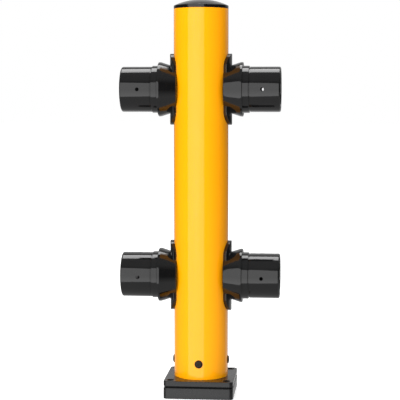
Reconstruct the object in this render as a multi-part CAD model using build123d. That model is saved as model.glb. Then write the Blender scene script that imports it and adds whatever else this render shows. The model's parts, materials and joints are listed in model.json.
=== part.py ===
from build123d import *

import math
import os

os.makedirs("parts", exist_ok=True)

# Centre post of a flexible safety barrier. It stands on the floor on a square
# layered foot and carries two levels of round rail, one coupler on each side
# of the post at each level. All sizes are in millimetres, with +Z up, the
# rails along X and the post's axis on the Z axis.

# The post is the driving size: it is cut from the same pipe as the rails.
POST_RADIUS = 80.0
PIPE_WALL = 10.0
POST_BORE_RADIUS = POST_RADIUS - PIPE_WALL

# Square foot: floor plate, rubber damping mat and the flange the post sits on.
FOOT_SIDE = 2 * POST_RADIUS + 44.0
FOOT_CORNER_RADIUS = 12.0
FLOOR_PLATE_THICKNESS = 32.0
MAT_THICKNESS = 5.0
MAT_INSET = 5.0
FLANGE_THICKNESS = 15.0
FOOT_EDGE_SOFTENING = 1.5
FOOT_HEIGHT = FLOOR_PLATE_THICKNESS + MAT_THICKNESS + FLANGE_THICKNESS
ANCHOR_SPACING = FOOT_SIDE - 39.0
ANCHOR_HOLE_RADIUS = 10.5

# Heights of the two rail axes and of the top of the pipe above the floor.
LOWER_RAIL_HEIGHT = 352.0
RAIL_SPACING = 549.0
UPPER_RAIL_HEIGHT = LOWER_RAIL_HEIGHT + RAIL_SPACING
POST_TOP = UPPER_RAIL_HEIGHT + 234.0

# Steel core welded on the flange inside the pipe, held by four radial screws.
CORE_CLEARANCE = 0.3
CORE_WALL = 8.0
CORE_RADIUS = POST_BORE_RADIUS - CORE_CLEARANCE
CORE_BORE_RADIUS = CORE_RADIUS - CORE_WALL
CORE_HEIGHT = 90.0
CORE_WELD_LEG = 6.0
SCREW_HEIGHT = FOOT_HEIGHT + 47.0
SCREW_RADIUS = 6.0
SCREW_CLEARANCE = 0.3
SCREW_HEAD_RADIUS = 12.0
SCREW_HEAD_RISE = 4.6
SCREW_FACE_RADIUS = 6.6
SCREW_SEAT_DEPTH = 1.0
SCREW_LENGTH = 34.0
SCREW_SOCKET_ACROSS_FLATS = 10.0
SCREW_SOCKET_DEPTH = 3.4
BOSS_RADIUS = 11.0
BOSS_LENGTH = 14.0

# Push-in cap: a rim as wide as the pipe, a low dome and a plug in the bore.
CAP_RIM_HEIGHT = 9.0
CAP_DOME_RISE = 18.0
CAP_EDGE_RADIUS = 1.2
CAP_ROOF = 4.0
CAP_PLUG_CLEARANCE = 0.5
CAP_PLUG_DEPTH = 40.0
CAP_PLUG_WALL = 4.0
CAP_PLUG_LEAD_IN = 3.0
CAP_RIB_THICKNESS = 3.0
SEAL_RADIUS = 2.0
SEAL_DROP = 12.0
SEAL_CLEARANCE = 0.05

# Coupler bracket: a saddle hugging the post and a bell that ends in a rim.
# Sizes named _X are measured outwards from the post's axis.
SADDLE_THICKNESS = 11.0
SADDLE_RADIUS = POST_RADIUS + SADDLE_THICKNESS
SADDLE_HALF_WIDTH = POST_RADIUS / 2 + 1.0
SADDLE_HALF_HEIGHT = POST_RADIUS + 24.0
SADDLE_SOFTENING = 2.0
BELL_START_X = POST_RADIUS - 12.0
BELL_START_RADIUS = POST_RADIUS - 16.5
BELL_END_X = POST_RADIUS + 37.5
BELL_WALL = 7.0
RIM_RADIUS = POST_RADIUS - 0.6
RIM_WIDTH = 6.5
RIM_END_X = BELL_END_X + RIM_WIDTH
RIM_EDGE_RADIUS = 1.5
WEB_START_X = POST_RADIUS - 4.0
SOCKET_DEPTH = 24.0
SOCKET_FLOOR_X = RIM_END_X - SOCKET_DEPTH
SOCKET_CLEARANCE = 0.08

# Spigot set in the bracket's socket, which the rail slides over.
COLLAR_RADIUS = POST_BORE_RADIUS - 1.1
COLLAR_END_X = RIM_END_X + 18.5
SLEEVE_RADIUS = POST_BORE_RADIUS - 3.9
SLEEVE_END_X = RIM_END_X + 110.0
GROOVE_RADIUS = SLEEVE_RADIUS - 1.5
GROOVE_END_X = COLLAR_END_X + 2.5
SLEEVE_EDGE_RADIUS = 5.0
SLEEVE_LIP_RADIUS = 1.5
SLEEVE_WALL = 8.5
SLEEVE_BORE_RADIUS = SLEEVE_RADIUS - SLEEVE_WALL
SPIGOT_FLOOR_THICKNESS = 8.0
SLEEVE_FLOOR_X = SOCKET_FLOOR_X + SPIGOT_FLOOR_THICKNESS
CLAMP_POCKET_RADIUS = SLEEVE_BORE_RADIUS - 5.6
CLAMP_POCKET_LENGTH = 32.0
CLAMP_POCKET_END_X = SLEEVE_FLOOR_X + CLAMP_POCKET_LENGTH
RAIL_PIN_X = SLEEVE_END_X - 53.0
RAIL_PIN_HOLE_RADIUS = 5.5

# Tie rod through the post at each level, with the parts that clamp on it.
ROD_RADIUS = 8.0
ROD_HOLE_RADIUS = 8.6
ROD_SLEEVE_RADIUS = 15.0
ROD_END_MARGIN = 7.0
CLAMP_PLATE_RADIUS = CLAMP_POCKET_RADIUS - 4.0
CLAMP_PLATE_THICKNESS = 6.0
WASHER_RADIUS = 17.0
WASHER_THICKNESS = 3.0
NUT_ACROSS_FLATS = 24.0
NUT_THICKNESS = 13.0
CLAMP_PLATE_END_X = SLEEVE_FLOOR_X + CLAMP_PLATE_THICKNESS
WASHER_END_X = CLAMP_PLATE_END_X + WASHER_THICKNESS
NUT_END_X = WASHER_END_X + NUT_THICKNESS
ROD_HALF_LENGTH = NUT_END_X + ROD_END_MARGIN

SIDES = ("right", "left")
LEVELS = {"lower": LOWER_RAIL_HEIGHT, "upper": UPPER_RAIL_HEIGHT}


def disc_stack(radius, start, end):
    """Solid round bar on the Z axis between two heights."""
    return Pos(0, 0, start) * extrude(Circle(radius), end - start)


def ring(outer, inner, start, end):
    """Round tube on the Z axis between two heights."""
    return Pos(0, 0, start) * extrude(Circle(outer) - Circle(inner), end - start)


def along_x(shape, height=0.0):
    """Turn a shape made on the Z axis so that it points along +X at a height."""
    return Pos(0, 0, height) * Rot(0, 90, 0) * shape


def around_post(shape):
    """Four copies of a shape, one facing each side of the post."""
    return [Rot(0, 0, 90 * turn) * shape for turn in range(4)]


def circles_at(shape, height, radius):
    """The shape's round edges with one radius at one height."""
    return shape.edges().filter_by(GeomType.CIRCLE).filter_by(
        lambda edge: abs(edge.arc_center.Z - height) < 0.01 and abs(edge.radius - radius) < 0.01
    )


def save(node, shapes):
    """Write one node as a STEP file, from one shape or a list of them."""
    solids = []
    for shape in shapes if isinstance(shapes, list) else [shapes]:
        solids.extend(shape.solids())
    body = solids[0] if len(solids) == 1 else Compound(children=solids)
    body.label = node
    export_step(body, f"parts/{node}.step")


def anchor_holes():
    """Four upright bars at the anchor positions, taller than the foot."""
    bar = disc_stack(ANCHOR_HOLE_RADIUS, -1, FOOT_HEIGHT + 1)
    half = ANCHOR_SPACING / 2
    return [Pos(x, y, 0) * bar for x in (-half, half) for y in (-half, half)]


def foot_layer(start, thickness, inset, softened):
    """One square layer of the foot with rounded corners and anchor holes."""
    side = FOOT_SIDE - 2 * inset
    outline = RectangleRounded(side, side, FOOT_CORNER_RADIUS - inset)
    layer = Pos(0, 0, start) * extrude(outline, thickness)
    if softened:
        layer = chamfer(layer.faces().sort_by(Axis.Z)[-1].edges(), FOOT_EDGE_SOFTENING)
        layer = chamfer(layer.faces().sort_by(Axis.Z)[0].edges(), FOOT_EDGE_SOFTENING / 2)
    return layer - anchor_holes()


def floor_plate():
    """Thick plate that is bolted to the floor."""
    return foot_layer(0, FLOOR_PLATE_THICKNESS, 0, True)


def damping_mat():
    """Rubber mat between the floor plate and the flange."""
    return foot_layer(FLOOR_PLATE_THICKNESS, MAT_THICKNESS, MAT_INSET, False)


def base_flange():
    """Upper plate that the post stands on."""
    start = FLOOR_PLATE_THICKNESS + MAT_THICKNESS
    return foot_layer(start, FLANGE_THICKNESS, 0, True)


def radial_bar(radius, start, end):
    """Bar pointing along +X at the height of the foot screws."""
    return along_x(disc_stack(radius, start, end), SCREW_HEIGHT)


def foot_core():
    """Tube stub inside the post with four radial screw holes."""
    core = ring(CORE_RADIUS, CORE_BORE_RADIUS, FOOT_HEIGHT, FOOT_HEIGHT + CORE_HEIGHT)
    hole = radial_bar(SCREW_RADIUS + SCREW_CLEARANCE, CORE_BORE_RADIUS - 10, POST_RADIUS)
    return core - around_post(hole)


def core_weld():
    """Fillet weld between the core and the flange, inside the core."""
    inner = CORE_BORE_RADIUS - CORE_WELD_LEG
    profile = Polyline(
        (CORE_BORE_RADIUS, FOOT_HEIGHT),
        (inner, FOOT_HEIGHT),
        (CORE_BORE_RADIUS, FOOT_HEIGHT + CORE_WELD_LEG),
        close=True,
    )
    return revolve(Plane.XZ * make_face(profile), Axis.Z)


def thread_bosses():
    """Round bosses inside the core that take the screw threads."""
    start = CORE_BORE_RADIUS - BOSS_LENGTH
    boss = radial_bar(BOSS_RADIUS, start, CORE_BORE_RADIUS + 10)
    boss = boss & disc_stack(CORE_BORE_RADIUS, 0, FOOT_HEIGHT + CORE_HEIGHT)
    boss = boss - radial_bar(SCREW_RADIUS, start - 1, CORE_RADIUS + 10)
    return around_post(boss)


def foot_screws():
    """Low round-headed screws with a hexagon socket, one on each side."""
    seat = POST_RADIUS - SCREW_SEAT_DEPTH
    top = seat + SCREW_HEAD_RISE
    profile = make_face(
        [
            Line((0, seat), (SCREW_HEAD_RADIUS, seat)),
            Line((SCREW_HEAD_RADIUS, seat), (SCREW_HEAD_RADIUS, seat + 1)),
            ThreePointArc(
                (SCREW_HEAD_RADIUS, seat + 1),
                ((SCREW_HEAD_RADIUS + SCREW_FACE_RADIUS) / 2 + 0.6, top - 1.2),
                (SCREW_FACE_RADIUS, top),
            ),
            Line((SCREW_FACE_RADIUS, top), (0, top)),
            Line((0, top), (0, seat)),
        ]
    )
    head = revolve(Plane.XZ * profile, Axis.Z)
    socket = extrude(RegularPolygon(SCREW_SOCKET_ACROSS_FLATS / 2, 6, major_radius=False), 10)
    head = head - Pos(0, 0, top - SCREW_SOCKET_DEPTH) * socket
    screw = head + disc_stack(SCREW_RADIUS, seat - SCREW_LENGTH, seat)
    return around_post(along_x(screw, SCREW_HEIGHT))


def post_tube():
    """Pipe with four screw seats at the foot and a rod hole at each level."""
    tube = ring(POST_RADIUS, POST_BORE_RADIUS, FOOT_HEIGHT, POST_TOP)
    seat = radial_bar(
        SCREW_HEAD_RADIUS + 0.5,
        POST_RADIUS - SCREW_SEAT_DEPTH,
        POST_RADIUS + 5,
    )
    hole = radial_bar(SCREW_RADIUS + SCREW_CLEARANCE, POST_BORE_RADIUS - 5, POST_RADIUS)
    tube = tube - around_post(seat) - around_post(hole)
    rod_hole = disc_stack(ROD_HOLE_RADIUS, -POST_RADIUS - 5, POST_RADIUS + 5)
    return tube - [along_x(rod_hole, height) for height in LEVELS.values()]


def cap_dome():
    """Solid of the cap's rim and dome above the pipe, without the plug."""
    shoulder = POST_TOP + CAP_RIM_HEIGHT
    apex = shoulder + CAP_DOME_RISE
    profile = make_face(
        [
            Line((0, POST_TOP), (POST_RADIUS, POST_TOP)),
            Line((POST_RADIUS, POST_TOP), (POST_RADIUS, shoulder)),
            ThreePointArc(
                (POST_RADIUS, shoulder),
                (POST_RADIUS * 0.52, shoulder + CAP_DOME_RISE * 0.76),
                (0, apex),
            ),
            Line((0, apex), (0, POST_TOP)),
        ]
    )
    dome = revolve(Plane.XZ * profile, Axis.Z)
    return fillet(circles_at(dome, shoulder, POST_RADIUS), CAP_EDGE_RADIUS)


def cap():
    """Push-in end cap, hollow underneath and stiffened by crossed ribs."""
    plug_radius = POST_BORE_RADIUS - CAP_PLUG_CLEARANCE
    plug_bore = plug_radius - CAP_PLUG_WALL
    plug_foot = POST_TOP - CAP_PLUG_DEPTH
    plug = ring(plug_radius, plug_bore, plug_foot, POST_TOP)
    plug = chamfer(circles_at(plug, plug_foot, plug_radius), CAP_PLUG_LEAD_IN)
    roof = POST_TOP + CAP_RIM_HEIGHT - CAP_ROOF
    body = cap_dome() - disc_stack(plug_bore, POST_TOP - 1, roof) + plug
    rib_height = roof - plug_foot - CAP_PLUG_DEPTH / 2
    rib = Box(2 * plug_bore + 1, CAP_RIB_THICKNESS, rib_height)
    rib = Pos(0, 0, roof - rib_height / 2) * rib
    body = body + [rib, Rot(0, 0, 90) * rib]
    groove_centre = plug_radius
    groove = Pos(0, 0, POST_TOP - SEAL_DROP) * Torus(groove_centre, SEAL_RADIUS)
    return body - groove


def cap_seal():
    """Rubber ring in the plug's groove, trimmed just inside the pipe's bore."""
    ring_centre = POST_BORE_RADIUS - CAP_PLUG_CLEARANCE
    seal = Pos(0, 0, POST_TOP - SEAL_DROP) * Torus(ring_centre, SEAL_RADIUS)
    limit = POST_BORE_RADIUS - SEAL_CLEARANCE
    return seal & disc_stack(limit, POST_TOP - SEAL_DROP - 5, POST_TOP)


def saddle_outline(distance):
    """The saddle's round-ended outline at a distance from the post's axis."""
    contact = math.sqrt(POST_RADIUS**2 - SADDLE_HALF_WIDTH**2)
    half_width = SADDLE_HALF_WIDTH * distance / contact
    outline = RectangleRounded(2 * SADDLE_HALF_HEIGHT, 2 * half_width, half_width - 1)
    return Pos(0, 0, distance) * outline


def saddle():
    """Tall curved plate on the post's surface, with sides cut towards its axis."""
    near = SADDLE_HALF_WIDTH + 10
    wedge = along_x(loft([saddle_outline(near), saddle_outline(SADDLE_RADIUS + 5)]))
    height = SADDLE_HALF_HEIGHT + 10
    plate = wedge & ring(SADDLE_RADIUS, POST_RADIUS, -height, height)
    outer = plate.faces().filter_by(GeomType.CYLINDER).sort_by(
        lambda face: face.center().X * face.area
    )[-1]
    return fillet(outer.edges(), SADDLE_SOFTENING)


def bell():
    """Cone that widens from the post to the rim, with a socket in its mouth."""
    socket_radius = COLLAR_RADIUS + SOCKET_CLEARANCE
    slope = (RIM_RADIUS - BELL_START_RADIUS) / (BELL_END_X - BELL_START_X)
    inner_start = BELL_START_RADIUS - BELL_WALL
    inner_end = inner_start + slope * (WEB_START_X - BELL_START_X)
    outline = Polyline(
        (0, WEB_START_X),
        (inner_end, WEB_START_X),
        (inner_start, BELL_START_X),
        (BELL_START_RADIUS, BELL_START_X),
        (RIM_RADIUS, BELL_END_X),
        (RIM_RADIUS, RIM_END_X),
        (socket_radius, RIM_END_X),
        (socket_radius, SOCKET_FLOOR_X),
        (0, SOCKET_FLOOR_X),
        close=True,
    )
    turned = revolve(Plane.XZ * make_face(outline), Axis.Z)
    turned = fillet(circles_at(turned, BELL_START_X, BELL_START_RADIUS), SADDLE_SOFTENING)
    turned = fillet(circles_at(turned, BELL_END_X, RIM_RADIUS), RIM_EDGE_RADIUS)
    turned = fillet(circles_at(turned, RIM_END_X, RIM_RADIUS), RIM_EDGE_RADIUS)
    return along_x(turned)


def bracket():
    """One moulded bracket, with the saddle and the bell in one piece."""
    post = disc_stack(POST_RADIUS, -2 * SADDLE_HALF_HEIGHT, 2 * SADDLE_HALF_HEIGHT)
    rod_hole = along_x(disc_stack(ROD_HOLE_RADIUS, 0, SOCKET_FLOOR_X + 1))
    return (bell() - post) + saddle() - rod_hole


def spigot():
    """Collar and hollow sleeve that the rail slides over, locked by pins."""
    outline = Polyline(
        (ROD_HOLE_RADIUS, SOCKET_FLOOR_X),
        (COLLAR_RADIUS, SOCKET_FLOOR_X),
        (COLLAR_RADIUS, COLLAR_END_X),
        (GROOVE_RADIUS, COLLAR_END_X),
        (GROOVE_RADIUS, GROOVE_END_X),
        (SLEEVE_RADIUS, GROOVE_END_X),
        (SLEEVE_RADIUS, SLEEVE_END_X),
        (SLEEVE_BORE_RADIUS, SLEEVE_END_X),
        (SLEEVE_BORE_RADIUS, CLAMP_POCKET_END_X),
        (CLAMP_POCKET_RADIUS, CLAMP_POCKET_END_X),
        (CLAMP_POCKET_RADIUS, SLEEVE_FLOOR_X),
        (ROD_HOLE_RADIUS, SLEEVE_FLOOR_X),
        close=True,
    )
    turned = revolve(Plane.XZ * make_face(outline), Axis.Z)
    turned = fillet(circles_at(turned, SLEEVE_END_X, SLEEVE_RADIUS), SLEEVE_EDGE_RADIUS)
    turned = fillet(circles_at(turned, SLEEVE_END_X, SLEEVE_BORE_RADIUS), SLEEVE_LIP_RADIUS)
    turned = fillet(circles_at(turned, COLLAR_END_X, COLLAR_RADIUS), RIM_EDGE_RADIUS)
    pin_hole = extrude(Circle(RAIL_PIN_HOLE_RADIUS), 2 * SLEEVE_RADIUS, both=True)
    pin_hole = Pos(0, 0, RAIL_PIN_X) * Rot(90, 0, 0) * pin_hole
    return along_x(turned - pin_hole - Rot(0, 0, 90) * pin_hole)


def at_every_coupler(name, shape):
    """Copies of a shape made along +X, by node name, for both sides and levels."""
    turned = {"right": shape, "left": Rot(0, 0, 180) * shape}
    named = {}
    for level, height in LEVELS.items():
        for side in SIDES:
            named[f"{name}_{level}_{side}"] = Pos(0, 0, height) * turned[side]
    return named


def tie_rod(height):
    """Threaded rod that pulls the two couplers of a level together."""
    return along_x(disc_stack(ROD_RADIUS, -ROD_HALF_LENGTH, ROD_HALF_LENGTH), height)


def rod_spacer(height):
    """Tube on the rod inside the post that keeps the pipe from being crushed."""
    half = POST_BORE_RADIUS + 5
    spacer = along_x(ring(ROD_SLEEVE_RADIUS, ROD_HOLE_RADIUS, -half, half), height)
    return spacer & disc_stack(POST_BORE_RADIUS, height - 50, height + 50)


def clamp_plate():
    """Round plate on the floor of a sleeve that spreads the clamping load."""
    plate = ring(CLAMP_PLATE_RADIUS, ROD_HOLE_RADIUS, SLEEVE_FLOOR_X, CLAMP_PLATE_END_X)
    return along_x(plate)


def rod_washer():
    """Plain washer under a rod's nut."""
    washer = ring(WASHER_RADIUS, ROD_HOLE_RADIUS, CLAMP_PLATE_END_X, WASHER_END_X)
    return along_x(washer)


def rod_nut():
    """Hexagon nut on the end of a rod."""
    outline = RegularPolygon(NUT_ACROSS_FLATS / 2, 6, major_radius=False) - Circle(ROD_RADIUS)
    nut = Pos(0, 0, WASHER_END_X) * extrude(outline, NUT_THICKNESS)
    return along_x(nut)


save("floor_plate", floor_plate())
save("damping_mat", damping_mat())
save("base_flange", base_flange())
save("foot_core", foot_core())
save("core_weld", core_weld())
save("thread_bosses", thread_bosses())
save("foot_screws", foot_screws())
save("post_tube", post_tube())
save("cap", cap())
save("cap_seal", cap_seal())
for name, shape in {"coupler": bracket(), "spigot": spigot()}.items():
    for node, copy in at_every_coupler(name, shape).items():
        save(node, copy)
for name, rail_height in LEVELS.items():
    save(f"tie_rod_{name}", tie_rod(rail_height))
    save(f"rod_spacer_{name}", rod_spacer(rail_height))
clamp_parts = {"clamp_plates": clamp_plate(), "rod_washers": rod_washer(), "rod_nuts": rod_nut()}
for name, shape in clamp_parts.items():
    save(name, list(at_every_coupler(name, shape).values()))
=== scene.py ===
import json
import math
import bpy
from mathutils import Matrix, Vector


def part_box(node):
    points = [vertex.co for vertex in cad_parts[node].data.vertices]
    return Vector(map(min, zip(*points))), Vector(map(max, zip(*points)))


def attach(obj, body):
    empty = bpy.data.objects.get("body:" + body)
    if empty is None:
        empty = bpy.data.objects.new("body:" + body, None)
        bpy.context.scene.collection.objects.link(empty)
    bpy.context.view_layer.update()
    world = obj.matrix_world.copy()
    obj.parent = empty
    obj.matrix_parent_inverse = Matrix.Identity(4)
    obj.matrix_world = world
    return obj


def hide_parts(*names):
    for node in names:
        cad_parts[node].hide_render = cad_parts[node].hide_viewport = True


bl_info = {
    "name": "Safety barrier post",
    "version": (1, 0, 0),
    "blender": (4, 5, 0),
    "location": "View3D > Sidebar > Barrier post",
    "description": "Builds the pieces and finishes of a safety barrier post round its CAD model",
    "category": "Add Mesh",
}

import bmesh
import bpy
from bpy.props import FloatProperty, FloatVectorProperty, IntProperty, PointerProperty
from mathutils import Vector

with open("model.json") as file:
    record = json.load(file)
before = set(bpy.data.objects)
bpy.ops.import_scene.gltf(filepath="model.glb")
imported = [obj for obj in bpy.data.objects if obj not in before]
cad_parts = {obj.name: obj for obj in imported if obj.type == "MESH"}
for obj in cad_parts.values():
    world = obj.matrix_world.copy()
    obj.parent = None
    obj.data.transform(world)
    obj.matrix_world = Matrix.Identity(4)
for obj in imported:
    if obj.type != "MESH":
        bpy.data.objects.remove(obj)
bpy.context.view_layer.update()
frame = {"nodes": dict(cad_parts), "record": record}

# Sizes and places that come from the CAD model. Everything is in metres, with
# +Z up the post, the rails along X and the post's axis on the Z axis.
MM = 0.001
TURN = 2 * math.pi
RECORD = frame["record"]
MOUNTS = {mount["name"]: mount for mount in RECORD["mounts"]}
PIPE_LOW, PIPE_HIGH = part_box("post_tube")
CAP_LOW, CAP_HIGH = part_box("cap")
BRACKET_LOW, BRACKET_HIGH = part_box("coupler_upper_right")
SPIGOT_LOW, SPIGOT_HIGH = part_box("spigot_upper_right")
SCREWS_LOW, SCREWS_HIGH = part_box("foot_screws")
ROD_LOW, ROD_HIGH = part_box("tie_rod_upper")
PLATES_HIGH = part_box("clamp_plates")[1]
WASHERS_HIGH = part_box("rod_washers")[1]
NUTS_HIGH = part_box("rod_nuts")[1]
FOOT_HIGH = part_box("floor_plate")[1]
SIDES = {"right": 0.0, "left": math.pi}
X_AXIS = (1, 0, 0)
Z_AXIS = (0, 0, 1)
ALONG_X = (0, TURN / 4, 0)

# The CAD model's sizes that its boxes don't give.
PIPE_WALL = 10 * MM
PLUG_CLEARANCE = 0.5 * MM

# Flats round the pieces, and steps in a rounding.
MOULDED_FACETS = 192
PLATED_FACETS = 96
BAR_FACETS = 64
PIN_FACETS = 48
HEXAGON = 6
ROUNDING_STEPS = 5

# How far joined solids run into each other, how far a cutter reaches past what it
# cuts, how close points are merged, and how close to a place still counts as on it.
OVERLAP = 2 * MM
OVERSHOOT = 10 * MM
MERGE = 0.001 * MM
NEAR = 0.02 * MM

# The usual range of a noise value.
NOISE_LOW = 0.3
NOISE_HIGH = 0.7


def middle_height(node):
    """The height of the middle of a CAD node."""
    low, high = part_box(node)
    return (low.z + high.z) / 2


LEVELS = {level: middle_height(f"tie_rod_{level}") for level in ("lower", "upper")}
SCREW_HEIGHT = middle_height("foot_screws")


# Settings that a user would change ------------------------------------------


def length(name, description, default):
    """A length property in metres, shown in the scene's own unit."""
    return FloatProperty(
        name=name, description=description, default=default, min=0.0, unit="LENGTH", precision=5
    )


def colour(name, description, default):
    """A linear colour property."""
    return FloatVectorProperty(
        name=name, description=description, default=default, size=3, min=0.0, max=1.0, subtype="COLOR"
    )


def share(name, description, default):
    """A property from 0 to 1."""
    return FloatProperty(
        name=name, description=description, default=default, min=0.0, max=1.0, subtype="FACTOR"
    )


def bearing(name, description, degrees):
    """An angle property, from degrees."""
    return FloatProperty(
        name=name, description=description, default=math.radians(degrees), subtype="ANGLE"
    )


def brightness(name, description, default):
    """The brightness of a light."""
    return FloatProperty(name=name, description=description, default=default, min=0.0)


class PipeSettings(bpy.types.PropertyGroup):
    """Sizes of the post's pipe and of the seats and holes in it."""

    radius: length("Radius", "Outer radius of the pipe", PIPE_HIGH.x)
    bore: length("Bore radius", "Inner radius of the pipe", PIPE_HIGH.x - PIPE_WALL)
    edge: length("Edge rounding", "Rounding on the pipe's sawn ends", 0.8 * MM)
    seat_depth: length("Screw seat depth", "Depth of the spot-faced screw seats", 1.0 * MM)
    seat_radius: length("Screw seat radius", "Radius of the spot-faced screw seats", 12.5 * MM)
    rod_hole: length("Rod hole radius", "Radius of the holes for the tie rods", 8.6 * MM)
    facets: IntProperty(name="Facets", description="Flats round the pipe", default=256, min=32)


class CapSettings(bpy.types.PropertyGroup):
    """Sizes of the push-in cap."""

    rim: length("Rim height", "Height of the straight rim on the pipe", 9.0 * MM)
    edge: length("Shoulder rounding", "Rounding between the rim and the dome", 1.2 * MM)
    foot_edge: length("Rim foot rounding", "Rounding on the rim's lower edge", 0.8 * MM)
    plug: length(
        "Plug radius", "Outer radius of the plug in the bore", PIPE_HIGH.x - PIPE_WALL - PLUG_CLEARANCE
    )
    wall: length("Plug wall", "Thickness of the plug's wall and the dome's roof", 4.0 * MM)
    lead_in: length("Lead-in", "Rounding at the foot of the plug", 3.0 * MM)
    rib: length("Rib thickness", "Thickness of the crossed ribs under the roof", 3.0 * MM)
    groove: length("Seal groove", "Depth of the V-shaped groove for the rubber ring", 2.0 * MM)
    seal_drop: length("Seal drop", "How far the rubber ring lies below the rim", 12.0 * MM)


class BracketSettings(bpy.types.PropertyGroup):
    """Sizes of the saddle and bell of a coupler."""

    saddle: length("Saddle thickness", "Thickness of the curved saddle plate", 11.0 * MM)
    saddle_width: length("Saddle width", "Width of the saddle round the pipe", 86.0 * MM)
    softening: length("Softening", "Rounding on the saddle's edge and the bell's back", 2.0 * MM)
    bell_start: length("Bell start radius", "Radius of the bell at its back", 63.5 * MM)
    bell_wall: length("Bell wall", "Thickness of the bell's skirt", 7.0 * MM)
    rim: length("Rim width", "Width of the rim that the rail stops against", 6.5 * MM)
    rim_edge: length("Rim rounding", "Rounding on the rim's corners", 1.5 * MM)
    socket: length("Socket depth", "Depth of the socket that holds the spigot", 24.0 * MM)
    clearance: length("Socket clearance", "Gap between the socket and the spigot", 0.08 * MM)
    slices: IntProperty(name="Slices", description="Strips that the saddle bends in", default=48, min=8)


class SpigotSettings(bpy.types.PropertyGroup):
    """Sizes of the spigot that a rail slides over."""

    collar: length("Collar end", "How far out the collar reaches", 142.5 * MM)
    groove: length("Groove radius", "Radius of the groove beside the collar", 64.6 * MM)
    groove_end: length("Groove end", "How far out the groove reaches", 145.0 * MM)
    floor: length("Floor", "Thickness of the floor that the rod clamps", 8.0 * MM)
    pocket: length("Pocket radius", "Radius of the pocket for the clamp plate", 52.0 * MM)
    pocket_end: length("Pocket end", "How far out the pocket reaches", 140.0 * MM)
    edge: length("End rounding", "Rounding on the sleeve's outer end", 5.0 * MM)
    lip: length("Lip rounding", "Rounding on the sleeve's mouth and the collar", 1.5 * MM)
    groove_edge: length("Groove rounding", "Rounding between the groove and the sleeve", 0.5 * MM)
    pocket_edge: length("Pocket rounding", "Rounding in the clamp plate's pocket", 1.0 * MM)


class FootSettings(bpy.types.PropertyGroup):
    """Sizes of the layered foot."""

    corner: length("Corner radius", "Radius of the foot's upright corners", 12.0 * MM)
    edge: length("Edge rounding", "Rounding on the plates' top edges; half as much below", 1.5 * MM)
    chamfer: length("Hole chamfer", "Chamfer on the anchor holes", 1.0 * MM)


class ScrewSettings(bpy.types.PropertyGroup):
    """Sizes of the low round-headed foot screws."""

    shank: length("Shank radius", "Radius of the shank", 6.0 * MM)
    shank_length: length("Shank length", "Length of the shank under the head", 33.0 * MM)
    rim: length("Head rim", "Height of the straight rim of the head", 1.0 * MM)
    face: share("Flat face", "Radius of the head's flat face, as a share of the head's", 0.55)
    socket: length("Socket radius", "Radius of the hexagon socket at its corners", 5.77 * MM)
    socket_depth: length("Socket depth", "Depth of the hexagon socket", 3.4 * MM)


class RodSettings(bpy.types.PropertyGroup):
    """Sizes of the tie rods' threads and of what is clamped on them."""

    pitch: length("Pitch", "Distance from one thread to the next", 2.0 * MM)
    depth: length("Thread depth", "Depth of the threads", 1.1 * MM)
    threads: IntProperty(name="Threads", description="Threads at each end of a rod", default=17, min=1)
    tip: length("Tip", "Length of the tapered tip", 0.4 * MM)
    plate: length("Clamp plate", "Thickness of the clamp plates", 6.0 * MM)
    edge: length("Disc rounding", "Rounding on the rims of plates and washers", 0.6 * MM)
    hole_edge: length("Hole rounding", "Rounding on the holes of plates and washers", 0.4 * MM)
    nut_inset: length("Nut face inset", "How far a nut's round face lies inside its flats", 0.5 * MM)
    nut_chamfer: length("Nut chamfer", "How much farther the chamfers reach than the flats", 0.3 * MM)
    nut_margin: length("Nut margin", "Room between a nut's corners and its round cutter", 0.1 * MM)


class FinishSettings(bpy.types.PropertyGroup):
    """Colours and roughness of the finishes."""

    yellow: colour("Pipe yellow", "Colour of the pipe", (0.95, 0.357, 0.002))
    black: colour("Moulded black", "Colour of the cap and couplers", (0.005, 0.005, 0.0052))
    coated: colour("Coated steel", "Colour of the foot's coating", (0.011, 0.011, 0.0115))
    # The screws' warm brown is a painted reflection of the yellow pipe on the heads.
    screws: colour("Blackened screws", "Colour of the foot screws", (0.016, 0.0095, 0.004))
    rubber: colour("Rubber", "Colour of the rubber parts", (0.003, 0.003, 0.003))
    zinc: colour("Zinc", "Colour of the zinc-plated steel", (0.55, 0.56, 0.56))
    pipe_roughness: share("Pipe roughness", "Roughness of the pipe's surface", 0.1)
    moulded_roughness: share("Moulded roughness", "Roughness of the moulded plastic", 0.085)
    coated_roughness: share("Coating roughness", "Roughness of the foot's coating", 0.26)


class StudioSettings(bpy.types.PropertyGroup):
    """Camera and lights."""

    distance: length("Camera distance", "From the post's axis to the camera", 3.694)
    height: length("Camera height", "Height of the camera above the floor", 0.897)
    side: bearing("Side angle", "Camera's angle to the right of the front", 5.38)
    pitch: bearing("Pitch", "How far the camera looks down", 4.98)
    offset: bearing("Aim offset", "How far the camera aims to the left of the post", 0.052)
    lens: FloatProperty(name="Lens", description="Focal length", default=112.87, unit="CAMERA")
    sensor: FloatProperty(name="Sensor", description="Sensor width", default=36.0, unit="CAMERA")
    light_aim: length("Light aim", "Height that the lights face", 0.62)
    light_reach: length("Light distance", "From the aim to each light", 6.0)
    front: bearing("Front angle", "Front lights' angle to the left of the front", 17.4)
    softbox: brightness("Softbox", "Brightness of the softbox", 1.34)
    wash: brightness("Wash", "Brightness of the broad front light", 5.9)
    strip: brightness("Strip", "Brightness of the overhead light", 4.4)
    fill: brightness("Fill", "Brightness of the room", 0.63)
    floor_size: length("Floor size", "Length of the floor's sides", 60.0)
    floor_drop: length("Floor drop", "How far the floor lies below the foot", 0.5 * MM)
    floor_glow: brightness("Floor glow", "Brightness that lifts the floor to white", 0.52)


# Modelling helpers ----------------------------------------------------------


def activate(piece):
    """Select one piece and nothing else."""
    bpy.ops.object.select_all(action="DESELECT")
    piece.select_set(True)
    bpy.context.view_layer.objects.active = piece


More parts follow.
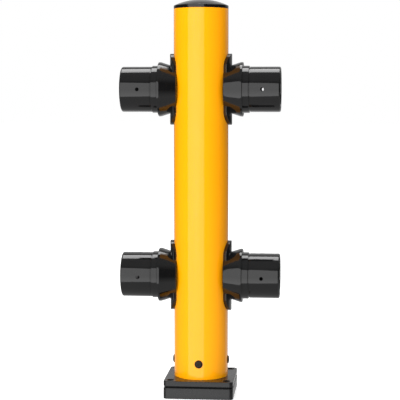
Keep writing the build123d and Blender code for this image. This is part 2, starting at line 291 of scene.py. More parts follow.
def apply_place():
    """Apply the active piece's place, turn and size to its mesh."""
    bpy.ops.object.transform_apply(location=True, rotation=True, scale=True)


def name_piece(name):
    """Name the object that an operator has just added."""
    piece = bpy.context.object
    piece.name = name
    piece.data.name = name
    return piece


def select_where(piece, kind, test):
    """In edit mode, select the edges or vertices that pass a test."""
    bpy.ops.mesh.select_mode(type=kind)
    bpy.ops.mesh.select_all(action="DESELECT")
    mesh = bmesh.from_edit_mesh(piece.data)
    for element in mesh.edges if kind == "EDGE" else mesh.verts:
        element.select_set(test(element))
    bmesh.update_edit_mesh(piece.data)


def select_edges(piece, test):
    """In edit mode, select the edges whose two ends both pass a test of place."""
    select_where(piece, "EDGE", lambda edge: all(test(vertex.co) for vertex in edge.verts))


def round_selected(radius, steps=ROUNDING_STEPS):
    """Round the selected edges."""
    bpy.ops.mesh.bevel(
        offset=radius, offset_type="OFFSET", segments=steps, profile=0.5,
        affect="EDGES", clamp_overlap=False,
    )


def on_ring(along, radius, axis):
    """A test for points on a circle round an axis, at a place along it."""

    def test(place):
        around = place.yz.length if axis == X_AXIS else place.xy.length
        here = place.x if axis == X_AXIS else place.z
        return abs(here - along) < NEAR and abs(around - radius) < NEAR

    return test


def turned(name, outline, axis, closed, facets, rounded=()):
    """Spin an outline of (place along the axis, radius) corners into a round piece.

    The rounded list holds (place, radius, rounding) of corners to round."""
    corners = [(along, 0, radius) if axis == X_AXIS else (radius, 0, along) for along, radius in outline]
    if closed:
        corners.append(corners[0])
    bpy.ops.mesh.primitive_plane_add(size=1 * MM)
    piece = name_piece(name)
    bpy.ops.object.mode_set(mode="EDIT")
    bpy.ops.mesh.select_mode(type="VERT")
    bpy.ops.mesh.select_all(action="SELECT")
    bpy.ops.mesh.merge(type="CENTER")
    bpy.ops.transform.translate(value=corners[0])
    for here, there in zip(corners, corners[1:]):
        step = Vector(there) - Vector(here)
        bpy.ops.mesh.extrude_vertices_move(TRANSFORM_OT_translate={"value": step})
    bpy.ops.mesh.select_all(action="SELECT")
    bpy.ops.mesh.remove_doubles(threshold=MERGE)
    bpy.ops.mesh.spin(steps=facets, angle=TURN, center=(0, 0, 0), axis=axis, use_auto_merge=True)
    bpy.ops.mesh.select_all(action="SELECT")
    bpy.ops.mesh.remove_doubles(threshold=MERGE)
    bpy.ops.mesh.normals_make_consistent(inside=False)
    for along, radius, rounding in rounded:
        select_edges(piece, on_ring(along, radius, axis))
        round_selected(rounding)
    bpy.ops.object.mode_set(mode="OBJECT")
    return piece


def bar(name, sides, radius, depth, middle, tilt):
    """A plain bar with a number of sides, used as a cutter or as a start."""
    bpy.ops.mesh.primitive_cylinder_add(
        vertices=sides, radius=radius, depth=depth, location=middle, rotation=tilt
    )
    apply_place()
    return name_piece(name)


def round_bar(radius, start, end, axis, facets=BAR_FACETS, height=0.0):
    """A plain round bar along an axis, used as a cutter."""
    middle = (start + end) / 2
    if axis == X_AXIS:
        return bar("cutter", facets, radius, end - start, (middle, 0, height), ALONG_X)
    return bar("cutter", facets, radius, end - start, (0, 0, middle), (0, 0, 0))


def combine(piece, other, operation="DIFFERENCE"):
    """Cut another solid from a piece, or add it, and drop the other solid."""
    activate(piece)
    modifier = piece.modifiers.new("combine", "BOOLEAN")
    modifier.operation = operation
    modifier.object = other
    modifier.solver = "EXACT"
    bpy.ops.object.modifier_apply(modifier=modifier.name)
    bpy.data.objects.remove(other)


def turn_about_post(piece, angle):
    """Turn a piece about the post's axis and apply it to the mesh."""
    activate(piece)
    bpy.ops.transform.rotate(value=angle, orient_axis="Z", center_override=(0, 0, 0))
    apply_place()


def copy_piece(piece, name, angle, lift):
    """A copy with its own mesh, turned about the post and lifted."""
    activate(piece)
    bpy.ops.object.duplicate(linked=False)
    copy = name_piece(name)
    turn_about_post(copy, angle)
    bpy.ops.transform.translate(value=(0, 0, lift))
    apply_place()
    return copy


def smooth(piece, angle=32):
    """Smooth shading, with creases kept sharp."""
    activate(piece)
    bpy.ops.object.shade_smooth_by_angle(angle=math.radians(angle))


def join(pieces, name):
    """Join pieces into one."""
    activate(pieces[0])
    for piece in pieces:
        piece.select_set(True)
    bpy.ops.object.join()
    return name_piece(name)


def finish_piece(piece, slot, body, *nodes):
    """Give a piece its slot's material and its body, and hide the CAD nodes that it stands for."""
    piece.data.materials.clear()
    piece.data.materials.append(finish_for(slot))
    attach(piece, body)
    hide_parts(*nodes)


def at_couplers(piece, name):
    """Turn a piece made at height 0 on the right into four copies, listed by coupler."""
    copies = {}
    for level, height in LEVELS.items():
        for side, angle in SIDES.items():
            copies[f"{level}_{side}"] = copy_piece(piece, f"{name}_{level}_{side}", angle, height)
    bpy.data.objects.remove(piece)
    return copies


# Material helpers -----------------------------------------------------------


def connect(material, value, socket):
    """Link another node's output to a socket, or set the socket to a value."""
    if isinstance(value, bpy.types.NodeSocket):
        material.node_tree.links.new(value, socket)
    else:
        socket.default_value = value


def add_node(material, kind, **inputs):
    """Add a shader node and set its inputs, from values or from other nodes' outputs."""
    node = material.node_tree.nodes.new(kind)
    for name, value in inputs.items():
        connect(material, value, node.inputs[name.replace("_", " ")])
    return node


def new_material(name, roughness, metallic=0.0):
    """A material with a shader, and the shader's node."""
    material = bpy.data.materials.new(name)
    material.use_nodes = True
    shader = material.node_tree.nodes["Principled BSDF"]
    shader.inputs["Roughness"].default_value = roughness
    shader.inputs["Metallic"].default_value = metallic
    return material, shader


def stretched_place(material, scale):
    """Object coordinates, scaled by a different amount along each axis."""
    place = add_node(material, "ShaderNodeTexCoord").outputs["Object"]
    return add_node(material, "ShaderNodeMapping", Vector=place, Scale=scale).outputs["Vector"]


def noise(material, grain, detail, stretch=(1, 1, 1)):
    """A noise value in the piece's own space, with its grain given per metre."""
    place = stretched_place(material, stretch)
    node = add_node(material, "ShaderNodeTexNoise", Vector=place, Scale=grain, Detail=detail)
    return node.outputs["Fac"]


def remap(material, value, low, high, out_low=0.0, out_high=1.0):
    """Stretch a value from one range to another, and hold it there."""
    node = add_node(
        material, "ShaderNodeMapRange", Value=value, From_Min=low, From_Max=high,
        To_Min=out_low, To_Max=out_high,
    )
    return node.outputs["Result"]


def spread(material, pattern, low, high):
    """Stretch a noise value's usual range to another range."""
    return remap(material, pattern, NOISE_LOW, NOISE_HIGH, low, high)


def calculate(material, operation, *values):
    """The result of a sum on numbers or other nodes' outputs."""
    node = material.node_tree.nodes.new("ShaderNodeMath")
    node.operation = operation
    for socket, value in zip(node.inputs, values):
        connect(material, value, socket)
    return node.outputs["Value"]


def multiply(material, first, second):
    """The product of two values."""
    return calculate(material, "MULTIPLY", first, second)


def larger(material, first, second):
    """The larger of two values."""
    return calculate(material, "MAXIMUM", first, second)


def raised(material, value, marks, amount):
    """A value that is raised by an amount where the marks are."""
    return calculate(material, "MULTIPLY_ADD", marks, amount, value)


def blend(material, first, second, amount):
    """A mix of two values by a third."""
    return add_node(material, "ShaderNodeMix", Factor=amount, A=first, B=second).outputs["Result"]


def tint(material, base, other, amount):
    """A mix of two colours by a value."""
    node = add_node(material, "ShaderNodeMix", Factor=amount)
    node.data_type = "RGBA"
    for name, value in (("A", base), ("B", other)):
        socket = next(s for s in node.inputs if s.name == name and s.type == "RGBA")
        connect(material, value if isinstance(value, bpy.types.NodeSocket) else (*value, 1.0), socket)
    return next(s for s in node.outputs if s.type == "RGBA")


def bump(material, height, strength, depth, under=None):
    """A bump normal from a height value, on top of another bump."""
    node = add_node(material, "ShaderNodeBump", Height=height, Strength=strength, Distance=depth)
    if under is not None:
        material.node_tree.links.new(under, node.inputs["Normal"])
    return node.outputs["Normal"]


def plug_in(material, shader, **sockets):
    """Set the shader's inputs, from values or from other nodes' outputs."""
    for name, value in sockets.items():
        connect(material, value, shader.inputs[name.replace("_", " ")])


def times(base, factor):
    """A colour made lighter or darker."""
    return tuple(min(1.0, part * factor) for part in base)


# Finishes -------------------------------------------------------------------


def pipe_plastic(finish):
    """Glossy extruded plastic, with faint draw lines up the pipe and light scuffs."""
    material, shader = new_material("extruded_yellow_plastic", finish.pipe_roughness)
    clouds = noise(material, grain=14.0, detail=3.0)
    draw_lines = noise(material, grain=420.0, detail=2.0, stretch=(1, 1, 0.006))
    scuffs = remap(material, noise(material, grain=900.0, detail=2.0, stretch=(1, 1, 0.03)), 0.66, 0.74)
    patches = remap(material, noise(material, grain=9.0, detail=2.0), 0.5, 0.62)
    marks = multiply(material, scuffs, patches)
    base = tint(material, times(finish.yellow, 0.97), times(finish.yellow, 1.03), clouds)
    base = tint(material, base, times(finish.yellow, 1.1), remap(material, marks, 0.0, 1.0, 0.0, 0.25))
    rough = spread(material, draw_lines, finish.pipe_roughness * 0.8, finish.pipe_roughness * 1.3)
    normal = bump(material, draw_lines, strength=0.05, depth=0.05 * MM)
    swell = noise(material, grain=40.0, detail=1.0)
    normal = bump(material, swell, strength=0.03, depth=0.3 * MM, under=normal)
    plug_in(material, shader, Base_Color=base, Roughness=rough, Normal=normal, IOR=1.5)
    return material


def moulded_plastic(finish):
    """Glossy moulded black plastic, with faint flow clouds and hairline scratches."""
    material, shader = new_material("moulded_black_plastic", finish.moulded_roughness)
    flow = noise(material, grain=22.0, detail=4.0)
    grain = noise(material, grain=1500.0, detail=2.0)
    hairs = remap(material, noise(material, grain=700.0, detail=1.0, stretch=(0.04, 1, 1)), 0.68, 0.74)
    base = tint(material, times(finish.black, 0.8), times(finish.black, 1.3), flow)
    rough = spread(material, flow, finish.moulded_roughness * 0.75, finish.moulded_roughness * 1.3)
    rough = raised(material, rough, hairs, 0.12)
    normal = bump(material, grain, strength=0.05, depth=0.03 * MM)
    swell = noise(material, grain=45.0, detail=1.0)
    normal = bump(material, swell, strength=0.02, depth=0.2 * MM, under=normal)
    plug_in(material, shader, Base_Color=base, Roughness=rough, Normal=normal, IOR=1.62)
    return material


def powder_coat(finish):
    """Satin black powder coat on steel, with orange peel and paler rubbed specks."""
    material, shader = new_material("black_powder_coat", finish.coated_roughness)
    peel = noise(material, grain=650.0, detail=2.0)
    clouds = noise(material, grain=30.0, detail=4.0)
    specks = remap(material, noise(material, grain=1400.0, detail=3.0), 0.7, 0.78)
    base = tint(material, times(finish.coated, 0.8), times(finish.coated, 1.25), clouds)
    base = tint(material, base, times(finish.coated, 6.0), specks)
    rough = spread(material, clouds, finish.coated_roughness * 0.85, finish.coated_roughness * 1.2)
    normal = bump(material, peel, strength=0.25, depth=0.08 * MM)
    plug_in(material, shader, Base_Color=base, Roughness=rough, Normal=normal)
    return material


def dull_rubber(finish):
    """Dull black rubber with a fine grain and a dusty bloom."""
    material, shader = new_material("dull_black_rubber", 0.75)
    bloom = noise(material, grain=40.0, detail=5.0)
    base = tint(material, finish.rubber, times(finish.rubber, 2.0), bloom)
    rough = spread(material, bloom, 0.65, 0.9)
    normal = bump(material, noise(material, grain=2200.0, detail=2.0), strength=0.3, depth=0.05 * MM)
    plug_in(material, shader, Base_Color=base, Roughness=rough, Normal=normal, Specular_IOR_Level=0.12)
    return material


def zinc_plate(finish):
    """Zinc-plated steel with uneven brightness and fine machining marks."""
    material, shader = new_material("zinc_plated_steel", 0.3, 1.0)
    clouds = noise(material, grain=90.0, detail=4.0)
    marks = noise(material, grain=1800.0, detail=2.0)
    base = tint(material, times(finish.zinc, 0.8), times(finish.zinc, 1.15), clouds)
    rough = spread(material, clouds, 0.22, 0.42)
    normal = bump(material, marks, strength=0.12, depth=0.03 * MM)
    plug_in(material, shader, Base_Color=base, Roughness=rough, Normal=normal)
    return material


def blackened_steel(finish):
    """Blackened steel of the foot screws in a warm brown, lighter in patches: a painted reflection of the
    yellow pipe on the heads, with a little wear on top.
    """
    material, shader = new_material("blackened_screw_steel", 0.35)
    clouds = noise(material, grain=260.0, detail=3.0)
    # Lighter warm brown patches: partly wear, partly a painted reflection of the yellow pipe on the heads.
    wear_and_painted_reflection = remap(material, noise(material, grain=900.0, detail=3.0), 0.6, 0.72, 0.0, 0.5)
    base = tint(material, finish.screws, times(finish.screws, 5.0), wear_and_painted_reflection)
    rough = spread(material, clouds, 0.28, 0.45)
    normal = bump(material, clouds, strength=0.1, depth=0.05 * MM)
    plug_in(material, shader, Base_Color=base, Roughness=rough, Normal=normal, Specular_IOR_Level=0.25)
    return material


MAKERS = {
    "yellow_plastic": pipe_plastic,
    "black_plastic": moulded_plastic,
    "coated_steel": powder_coat,
    "black_rubber": dull_rubber,
    "zinc_steel": zinc_plate,
    "black_screw_steel": blackened_steel,
}
made_materials = {}


def finish_for(slot):
    """The material of one of the record's slots, made when it is first needed."""
    if slot not in made_materials:
        made_materials[slot] = MAKERS[slot](bpy.context.scene.barrier_finish)
    return made_materials[slot]


# Pieces ---------------------------------------------------------------------


class MakePipe(bpy.types.Operator):
    """Make the post's pipe, with its screw seats and rod holes."""

    bl_idname = "barrier_post.make_pipe"
    bl_label = "Pipe"

    def execute(self, context):
        pipe = context.scene.barrier_pipe
        low, high = PIPE_LOW.z, PIPE_HIGH.z
        outline = [(low, pipe.bore), (low, pipe.radius), (high, pipe.radius), (high, pipe.bore)]
        ends = [(along, pipe.radius, pipe.edge) for along in (low, high)]
        piece = turned("pipe", outline, Z_AXIS, True, pipe.facets, ends)
        past = pipe.radius + OVERSHOOT
        for quarter in range(4):
            seat = round_bar(
                pipe.seat_radius, pipe.radius - pipe.seat_depth, past, X_AXIS, height=SCREW_HEIGHT
            )
            turn_about_post(seat, quarter * TURN / 4)
            combine(piece, seat)
        for height in LEVELS.values():
            combine(piece, round_bar(pipe.rod_hole, -past, past, X_AXIS, height=height))
        smooth(piece)
        finish_piece(piece, "yellow_plastic", "post", "post_tube")
        return {"FINISHED"}


class MakeCap(bpy.types.Operator):
    """Make the domed push-in cap, with its plug, seal groove and ribs."""

    bl_idname = "barrier_post.make_cap"
    bl_label = "Cap"

    def execute(self, context):
        cap = context.scene.barrier_cap
        seat = PIPE_HIGH.z
        radius = CAP_HIGH.x
        shoulder = seat + cap.rim
        rise = CAP_HIGH.z - shoulder
        sphere = (radius**2 + rise**2) / (2 * rise)
        steps = 16
        dome = []
        for step in range(steps + 1):
            out = radius * step / steps
            dome.append((CAP_HIGH.z - sphere + math.sqrt(sphere**2 - out**2), out))
        groove_top = seat - cap.seal_drop + cap.groove
        groove_foot = seat - cap.seal_drop - cap.groove
        bore = cap.plug - cap.wall
        roof = shoulder - cap.wall
        outline = dome + [
            (seat, radius),
            (seat, cap.plug),
            (groove_top, cap.plug),
            (groove_top - cap.groove, cap.plug - cap.groove),
            (groove_foot, cap.plug),
            (CAP_LOW.z, cap.plug),
            (CAP_LOW.z, bore),
            (roof, bore),
            (roof, 0),
        ]
        rounded = [
            (shoulder, radius, cap.edge),
            (seat, radius, cap.foot_edge),
            (CAP_LOW.z, cap.plug, cap.lead_in),
        ]
        piece = turned("cap_moulding", outline, Z_AXIS, False, MOULDED_FACETS, rounded)
        foot = (CAP_LOW.z + seat) / 2
        top = roof + OVERLAP
        for angle in (0, TURN / 4):
            bpy.ops.mesh.primitive_cube_add(size=1, location=(0, 0, (top + foot) / 2))
            rib = name_piece("rib")
            bpy.ops.transform.resize(value=(2 * bore + OVERLAP, cap.rib, top - foot))
            turn_about_post(rib, angle)
            combine(piece, rib, "UNION")
        smooth(piece)
        finish_piece(piece, "black_plastic", "cap", "cap")
        return {"FINISHED"}


def saddle_plate(pipe, bracket):
    """The round-ended saddle plate, made flat and then bent to the pipe."""
    half_width = bracket.saddle_width / 2
    half_height = (BRACKET_HIGH.z - BRACKET_LOW.z) / 2
    thickness = bracket.saddle + OVERLAP
    bpy.ops.mesh.primitive_circle_add(
        vertices=MOULDED_FACETS // 2, radius=half_width, fill_type="NGON", location=(0, OVERLAP, 0),
        rotation=(TURN / 4, 0, 0),
    )
    plate = name_piece("saddle")
    apply_place()
    bpy.ops.object.mode_set(mode="EDIT")
    for sign in (1, -1):
        select_where(plate, "VERT", lambda vertex, sign=sign: vertex.co.z * sign > NEAR)
        bpy.ops.transform.translate(value=(0, 0, sign * (half_height - half_width)))
    bpy.ops.mesh.select_all(action="SELECT")
    bpy.ops.mesh.extrude_region_move(TRANSFORM_OT_translate={"value": (0, -thickness, 0)})
    bpy.ops.mesh.select_all(action="SELECT")
    bpy.ops.mesh.normals_make_consistent(inside=False)
    select_edges(plate, lambda place: abs(place.y + bracket.saddle) < NEAR)
    round_selected(bracket.softening)
    for index in range(1, bracket.slices):
        bpy.ops.mesh.select_all(action="SELECT")
        across = -half_width + index * bracket.saddle_width / bracket.slices
        bpy.ops.mesh.bisect(plane_co=(across, 0, 0), plane_no=(1, 0, 0))
    bpy.ops.object.mode_set(mode="OBJECT")
    bend = plate.modifiers.new("bend", "SIMPLE_DEFORM")
    bend.deform_method = "BEND"
    bend.deform_axis = "Z"
    bend.angle = bracket.saddle_width / pipe.radius
    bpy.ops.object.modifier_apply(modifier=bend.name)
    bpy.ops.transform.translate(value=(0, -pipe.radius, 0))
    apply_place()
    turn_about_post(plate, -TURN / 4)
    return plate


def bell_solid(pipe, bracket, spigot_radius):
    """The bell from inside the post to the rim, with the spigot's socket in its mouth."""
    start, end = BRACKET_LOW.x, BRACKET_HIGH.x
    rim_radius = BRACKET_HIGH.y
    rim_start = end - bracket.rim
    inner = bracket.bell_start - bracket.bell_wall
    web = pipe.radius - 2 * OVERLAP
    slope = (rim_radius - bracket.bell_start) / (rim_start - start)
    outline = [
        (web, 0),
        (web, inner + slope * (web - start)),
        (start, inner),
        (start, bracket.bell_start),
        (rim_start, rim_radius),
        (end, rim_radius),
        (end, spigot_radius),
        (end - bracket.socket, spigot_radius),
        (end - bracket.socket, 0),
    ]
    rounded = [
        (start, bracket.bell_start, bracket.softening),
        (rim_start, rim_radius, bracket.rim_edge),
        (end, rim_radius, bracket.rim_edge),
    ]
    return turned("bell", outline, X_AXIS, False, MOULDED_FACETS, rounded)


class MakeBrackets(bpy.types.Operator):
    """Make the four coupler brackets, each a saddle and a bell in one moulding."""

    bl_idname = "barrier_post.make_brackets"
    bl_label = "Coupler brackets"

    def execute(self, context):
        pipe = context.scene.barrier_pipe
        bracket = context.scene.barrier_bracket
        piece = bell_solid(pipe, bracket, SPIGOT_HIGH.y + bracket.clearance)
        combine(piece, saddle_plate(pipe, bracket), "UNION")
        reach = BRACKET_HIGH.z - BRACKET_LOW.z
        combine(piece, round_bar(pipe.radius, -reach, reach, Z_AXIS, facets=pipe.facets))
        combine(piece, round_bar(pipe.rod_hole, 0, BRACKET_HIGH.x, X_AXIS))
        smooth(piece)
        for place, copy in at_couplers(piece, "bracket").items():
            finish_piece(copy, "black_plastic", "post", f"coupler_{place}")
        return {"FINISHED"}


class MakeSpigots(bpy.types.Operator):
    """Make the four hollow spigots that the rails slide over."""

    bl_idname = "barrier_post.make_spigots"
    bl_label = "Rail spigots"

    def execute(self, context):
        pipe = context.scene.barrier_pipe
        spigot = context.scene.barrier_spigot
        collar = SPIGOT_HIGH.y
        start, end = SPIGOT_LOW.x, SPIGOT_HIGH.x
        sleeve = MOUNTS["rail_end_upper_right"]["dims"]["r_mm"] * MM
        bore = MOUNTS["sleeve_bore_upper_right"]["dims"]["r_mm"] * MM
        pins = MOUNTS["rail_pin_holes_front"]["dims"]
        floor = start + spigot.floor
        outline = [
            (start, pipe.rod_hole),
            (start, collar),
            (spigot.collar, collar),
            (spigot.collar, spigot.groove),
            (spigot.groove_end, spigot.groove),
            (spigot.groove_end, sleeve),
            (end, sleeve),
            (end, bore),
            (spigot.pocket_end, bore),
            (spigot.pocket_end, spigot.pocket),
            (floor, spigot.pocket),
            (floor, pipe.rod_hole),
        ]
        rounded = [
            (end, sleeve, spigot.edge),
            (end, bore, spigot.lip),
            (spigot.collar, collar, spigot.lip),
            (spigot.groove_end, sleeve, spigot.groove_edge),
            (spigot.pocket_end, bore, spigot.pocket_edge),
            (floor, spigot.pocket, spigot.pocket_edge),
        ]
        piece = turned("spigot", outline, X_AXIS, True, MOULDED_FACETS, rounded)
        pin = (pins["spacing_x_mm"] * MM / 2, 0, 0)
        pin_radius = pins["hole_r_mm"] * MM
        through = 2 * (sleeve + OVERSHOOT)
        for tilt in (0, TURN / 4):
            combine(piece, bar("pin_hole", PIN_FACETS, pin_radius, through, pin, (tilt, 0, 0)))
        smooth(piece)
        for place, copy in at_couplers(piece, "rail_spigot").items():
            finish_piece(copy, "black_plastic", "post", f"spigot_{place}")
        return {"FINISHED"}


def anchor_holes():
    """The anchor holes' radius and the places of their middles."""
    holes = MOUNTS["anchor_holes"]["dims"]
    half_x = holes["spacing_x_mm"] * MM / 2
    half_y = holes["spacing_y_mm"] * MM / 2
    places = [Vector((x * half_x, y * half_y, 0)) for x in (-1, 1) for y in (-1, 1)]
    return holes["hole_r_mm"] * MM, places


def foot_layer(name, low, high, foot, softened):
    """One square layer of the foot, with round corners and four anchor holes."""
    corner = foot.corner - (FOOT_HIGH.x - high.x)
    bpy.ops.mesh.primitive_cube_add(size=1, location=(low + high) / 2)
    piece = name_piece(name)
    bpy.ops.transform.resize(value=high - low)
    apply_place()
    bpy.ops.object.mode_set(mode="EDIT")
    select_where(piece, "EDGE", lambda edge: (edge.verts[0].co - edge.verts[1].co).xy.length < NEAR)
    round_selected(corner, steps=12)
    if softened:
        select_edges(piece, lambda place: abs(place.z - high.z) < NEAR)
        round_selected(foot.edge, steps=4)
        select_edges(piece, lambda place: abs(place.z - low.z) < NEAR)
        round_selected(foot.edge / 2, steps=3)
    bpy.ops.object.mode_set(mode="OBJECT")
    hole_radius, places = anchor_holes()
    for place in places:
        cutter = round_bar(hole_radius, low.z - OVERSHOOT, high.z + OVERSHOOT, Z_AXIS)
        bpy.ops.transform.translate(value=place)
        apply_place()
        combine(piece, cutter)
    return piece


def chamfer_holes(piece, top, width):
    """Chamfer the upper edges of a layer's anchor holes."""
    hole_radius, places = anchor_holes()

    def on_hole(point):
        outs = [(point - place).xy.length for place in places]
        return abs(point.z - top) < NEAR and abs(min(outs) - hole_radius) < NEAR

    activate(piece)
    bpy.ops.object.mode_set(mode="EDIT")
    select_edges(piece, on_hole)
    round_selected(width, steps=1)
    bpy.ops.object.mode_set(mode="OBJECT")


class MakeFoot(bpy.types.Operator):
    """Make the foot's two steel plates and the rubber mat between them."""

    bl_idname = "barrier_post.make_foot"
    bl_label = "Foot"

    def execute(self, context):
        foot = context.scene.barrier_foot
        layers = (
            ("lower_plate", "floor_plate", "coated_steel"),
            ("rubber_mat", "damping_mat", "black_rubber"),
            ("upper_flange", "base_flange", "coated_steel"),
        )
        for name, node, slot in layers:
            low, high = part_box(node)
            steel = slot == "coated_steel"
            piece = foot_layer(name, low, high, foot, steel)
            if steel:
                chamfer_holes(piece, high.z, foot.chamfer)
            smooth(piece)
            finish_piece(piece, slot, "post", node)
        return {"FINISHED"}


class MakeFootScrews(bpy.types.Operator):
    """Make the four low round-headed screws above the foot."""

    bl_idname = "barrier_post.make_foot_screws"
    bl_label = "Foot screws"

    def execute(self, context):
        pipe = context.scene.barrier_pipe
        settings = context.scene.barrier_screws
        radius = (SCREWS_HIGH.z - SCREWS_LOW.z) / 2
        top = SCREWS_HIGH.x
        seat = pipe.radius - pipe.seat_depth
        rim = seat + settings.rim
        tip = seat - settings.shank_length
        face = settings.face * radius
        outline = [(tip, 0), (tip, settings.shank), (seat, settings.shank), (seat, radius)]
        steps = 6
        for step in range(steps + 1):
            angle = step / steps * TURN / 4
            outline.append((rim + (top - rim) * math.sin(angle), face + (radius - face) * math.cos(angle)))
        outline.append((top, 0))
        screw = turned("screw", outline, X_AXIS, False, BAR_FACETS)
        depth = 2 * settings.socket_depth
        combine(screw, bar("socket", HEXAGON, settings.socket, depth, (top, 0, 0), ALONG_X))
        smooth(screw, 40)
        copies = [
            copy_piece(screw, f"foot_screw_{quarter}", quarter * TURN / 4, SCREW_HEIGHT)
            for quarter in range(4)
        ]
        bpy.data.objects.remove(screw)
        piece = join(copies, "round_head_screws")
        finish_piece(piece, "black_screw_steel", "post", "foot_screws")
        return {"FINISHED"}


class MakeTieRods(bpy.types.Operator):
    """Make the two tie rods, with threads cut at both ends."""

    bl_idname = "barrier_post.make_tie_rods"
    bl_label = "Tie rods"

    def execute(self, context):
        settings = context.scene.barrier_rods
        radius = (ROD_HIGH.z - ROD_LOW.z) / 2
        root = radius - settings.depth
        reach = ROD_HIGH.x
        start = reach - settings.threads * settings.pitch
        half = []
        for index in range(settings.threads):
            half.append((start + index * settings.pitch, radius))
            half.append((start + (index + 0.5) * settings.pitch, root))
        half += [(reach - settings.tip, root), (reach, root - settings.depth), (reach, 0)]
        other_half = [(-along, out) for along, out in reversed(half)]
        rod = turned("rod", other_half + half, X_AXIS, False, BAR_FACETS)
        smooth(rod, 25)
        for level, height in LEVELS.items():
            copy = copy_piece(rod, f"threaded_rod_{level}", 0, height)
            finish_piece(copy, "zinc_steel", "post", f"tie_rod_{level}")
        bpy.data.objects.remove(rod)
        return {"FINISHED"}


def clamp_disc(rods, start, end, radius, hole):
    """A flat round disc with a hole and softened edges."""
    outline = [(start, hole), (start, radius), (end, radius), (end, hole)]
    rounded = [(end, radius, rods.edge), (end, hole, rods.hole_edge)]
    piece = turned("disc", outline, X_AXIS, True, PLATED_FACETS, rounded)
    smooth(piece)
    return piece


def clamp_nut(rods, start, end, half_flats, bore):
    """A hexagon nut with both faces chamfered on its corners."""
    half_side = TURN / (2 * HEXAGON)
    corner = half_flats / math.cos(half_side)
    piece = bar("nut", HEXAGON, corner, end - start, ((start + end) / 2, 0, 0), ALONG_X)
    slope = (corner - half_flats) * math.tan(half_side) + rods.nut_chamfer
    face = half_flats - rods.nut_inset
    outside = corner + rods.nut_margin
    outline = [
        (start, 0),
        (start, face),
        (start + slope, outside),
        (end - slope, outside),
        (end, face),
        (end, 0),
    ]
    combine(piece, turned("chamfers", outline, X_AXIS, False, PLATED_FACETS), "INTERSECT")
    combine(piece, round_bar(bore, start - OVERSHOOT, end + OVERSHOOT, X_AXIS))
    smooth(piece, 20)
    return piece


class MakeClampParts(bpy.types.Operator):
    """Make the clamp plate, washer and nut on each end of the tie rods."""

    bl_idname = "barrier_post.make_clamp_parts"
    bl_label = "Clamp plates, washers and nuts"

    def execute(self, context):
        hole = context.scene.barrier_pipe.rod_hole
        rods = context.scene.barrier_rods
        plate_end = PLATES_HIGH.x
        washer_end = WASHERS_HIGH.x
        pieces = {
            "clamp_plates": clamp_disc(rods, plate_end - rods.plate, plate_end, PLATES_HIGH.y, hole),
            "rod_washers": clamp_disc(rods, plate_end, washer_end, WASHERS_HIGH.y, hole),
            "rod_nuts": clamp_nut(rods, washer_end, NUTS_HIGH.x, NUTS_HIGH.y, ROD_HIGH.y),
        }
        for node, first in pieces.items():
            copies = list(at_couplers(first, node).values())
            piece = join(copies, f"plated_{node}")
            finish_piece(piece, "zinc_steel", "post", node)
        return {"FINISHED"}


class FinishCadParts(bpy.types.Operator):
    """Give the CAD parts that stay, all inside the post, their finishes."""

    bl_idname = "barrier_post.finish_cad_parts"
    bl_label = "Inner parts' finishes"

    def execute(self, context):
        slots = {part["node"]: part["material_slot"] for part in RECORD["subparts"]}
        for node, piece in frame["nodes"].items():
            if piece.hide_render:
                continue
            for material_slot in piece.material_slots:
                material_slot.material = finish_for(slots[node])
        return {"FINISHED"}


# Stage ----------------------------------------------------------------------


def add_light(studio, name, azimuth, elevation, width, height, radiance):
    """A rectangular light that faces the middle of the post, set by its brightness."""
    aim = Vector((0, 0, studio.light_aim))
    towards = Vector((
        math.sin(azimuth) * math.cos(elevation),
        -math.cos(azimuth) * math.cos(elevation),
        math.sin(elevation),
    ))
    bpy.ops.object.light_add(type="AREA", location=aim + towards * studio.light_reach)
    light = bpy.context.object
    light.name = name
    light.rotation_euler = towards.to_track_quat("Z", "Y").to_euler()
    light.data.shape = "RECTANGLE"
    light.data.size = width
    light.data.size_y = height
    light.data.energy = radiance * math.pi * width * height
    light.visible_camera = False
    return light


def white_room(context, fill):
    """Make a room that is white in view and even in its soft light, but not in reflections.

    Reflections see a bright wall and floor behind the post, a dim ceiling and floor
    round it, and darkness in front. Each rises between two heights of the direction."""
    world = bpy.data.worlds.new("studio")
    context.scene.world = world
    world.use_nodes = True
    direction = add_node(world, "ShaderNodeTexCoord").outputs["Generated"]
    split = add_node(world, "ShaderNodeSeparateXYZ", Vector=direction)
    back = split.outputs["Y"]
    up = split.outputs["Z"]
    wall = remap(world, up, -0.05, 0.2, 0.12, 0.65)
    far_floor = remap(world, up, -0.08, -0.22, 0.12, 0.75)
    behind = multiply(world, remap(world, back, 0.5, 0.85), larger(world, wall, far_floor))
    ceiling = remap(world, up, 0.45, 0.75, 0.03, 0.25)
    ground = remap(world, up, -0.05, -0.5, 0.03, 0.4)
    reflected = larger(world, behind, larger(world, ceiling, ground))
    path = add_node(world, "ShaderNodeLightPath")
    unseen = blend(world, fill, reflected, path.outputs["Is Glossy Ray"])
    strength = blend(world, unseen, 1.0, path.outputs["Is Camera Ray"])
    plug_in(world, world.node_tree.nodes["Background"], Color=(1.0, 1.0, 1.0, 1.0), Strength=strength)


def pale_floor(studio):
    """A wide pale floor that fades into the room."""
    bpy.ops.mesh.primitive_plane_add(size=studio.floor_size, location=(0, 0, -studio.floor_drop))
    floor = name_piece("studio_floor")
    material, shader = new_material("pale_floor", 0.9)
    base = tint(material, (0.84, 0.84, 0.84), (0.88, 0.88, 0.88), noise(material, grain=3.0, detail=3.0))
    plug_in(
        material, shader, Base_Color=base, Specular_IOR_Level=0.1,
        Emission_Color=(1.0, 1.0, 1.0, 1.0), Emission_Strength=studio.floor_glow,
    )
    floor.data.materials.append(material)
    floor.visible_glossy = False
    floor.visible_diffuse = False


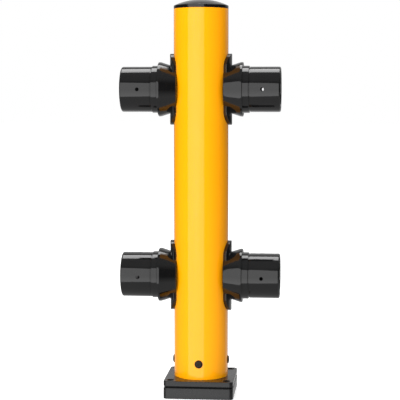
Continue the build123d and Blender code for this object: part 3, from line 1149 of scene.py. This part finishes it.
class MakeStage(bpy.types.Operator):
    """Make the camera, the lights, the room and the pale floor."""

    bl_idname = "barrier_post.make_stage"
    bl_label = "Stage"

    def execute(self, context):
        studio = context.scene.barrier_studio
        side = studio.side
        place = (studio.distance * math.sin(side), -studio.distance * math.cos(side), studio.height)
        bpy.ops.object.camera_add(
            location=place, rotation=(TURN / 4 - studio.pitch, 0, side + studio.offset)
        )
        camera = context.object
        camera.data.sensor_width = studio.sensor
        camera.data.lens = studio.lens
        context.scene.camera = camera
        context.scene.view_settings.view_transform = "Standard"
        left = -studio.front
        add_light(studio, "front_softbox", left, 0.0, 8.3, 8.3, studio.softbox)
        wash = add_light(studio, "front_wash", left, math.radians(10), 4.0, 4.0, studio.wash)
        wash.visible_glossy = False
        add_light(studio, "top_strip", TURN / 2, math.radians(70), 4.6, 3.0, studio.strip)
        white_room(context, studio.fill)
        pale_floor(studio)
        return {"FINISHED"}


# Panel and registration -----------------------------------------------------


OPERATORS = (
    MakeStage,
    MakePipe,
    MakeCap,
    MakeBrackets,
    MakeSpigots,
    MakeFoot,
    MakeFootScrews,
    MakeTieRods,
    MakeClampParts,
    FinishCadParts,
)
SETTINGS = {
    "barrier_pipe": PipeSettings,
    "barrier_cap": CapSettings,
    "barrier_bracket": BracketSettings,
    "barrier_spigot": SpigotSettings,
    "barrier_foot": FootSettings,
    "barrier_screws": ScrewSettings,
    "barrier_rods": RodSettings,
    "barrier_finish": FinishSettings,
    "barrier_studio": StudioSettings,
}


class BarrierPostPanel(bpy.types.Panel):
    """Lists the pieces of the barrier post."""

    bl_idname = "VIEW3D_PT_barrier_post"
    bl_label = "Barrier post"
    bl_space_type = "VIEW_3D"
    bl_region_type = "UI"
    bl_category = "Barrier post"

    def draw(self, context):
        for operator in OPERATORS:
            self.layout.operator(operator.bl_idname)
        for name, group in SETTINGS.items():
            box = self.layout.box()
            box.label(text=group.__doc__)
            for setting in group.__annotations__:
                box.prop(getattr(context.scene, name), setting)


def register():
    for group in SETTINGS.values():
        bpy.utils.register_class(group)
    for name, group in SETTINGS.items():
        setattr(bpy.types.Scene, name, PointerProperty(type=group))
    for operator in OPERATORS:
        bpy.utils.register_class(operator)
    bpy.utils.register_class(BarrierPostPanel)


def unregister():
    bpy.utils.unregister_class(BarrierPostPanel)
    for operator in reversed(OPERATORS):
        bpy.utils.unregister_class(operator)
    for name, group in SETTINGS.items():
        delattr(bpy.types.Scene, name)
        bpy.utils.unregister_class(group)


def main():
    """Register the add-on and make every piece."""
    register()
    for operator in OPERATORS:
        group, action = operator.bl_idname.split(".")
        getattr(getattr(bpy.ops, group), action)()


if __name__ == "__main__":
    main()
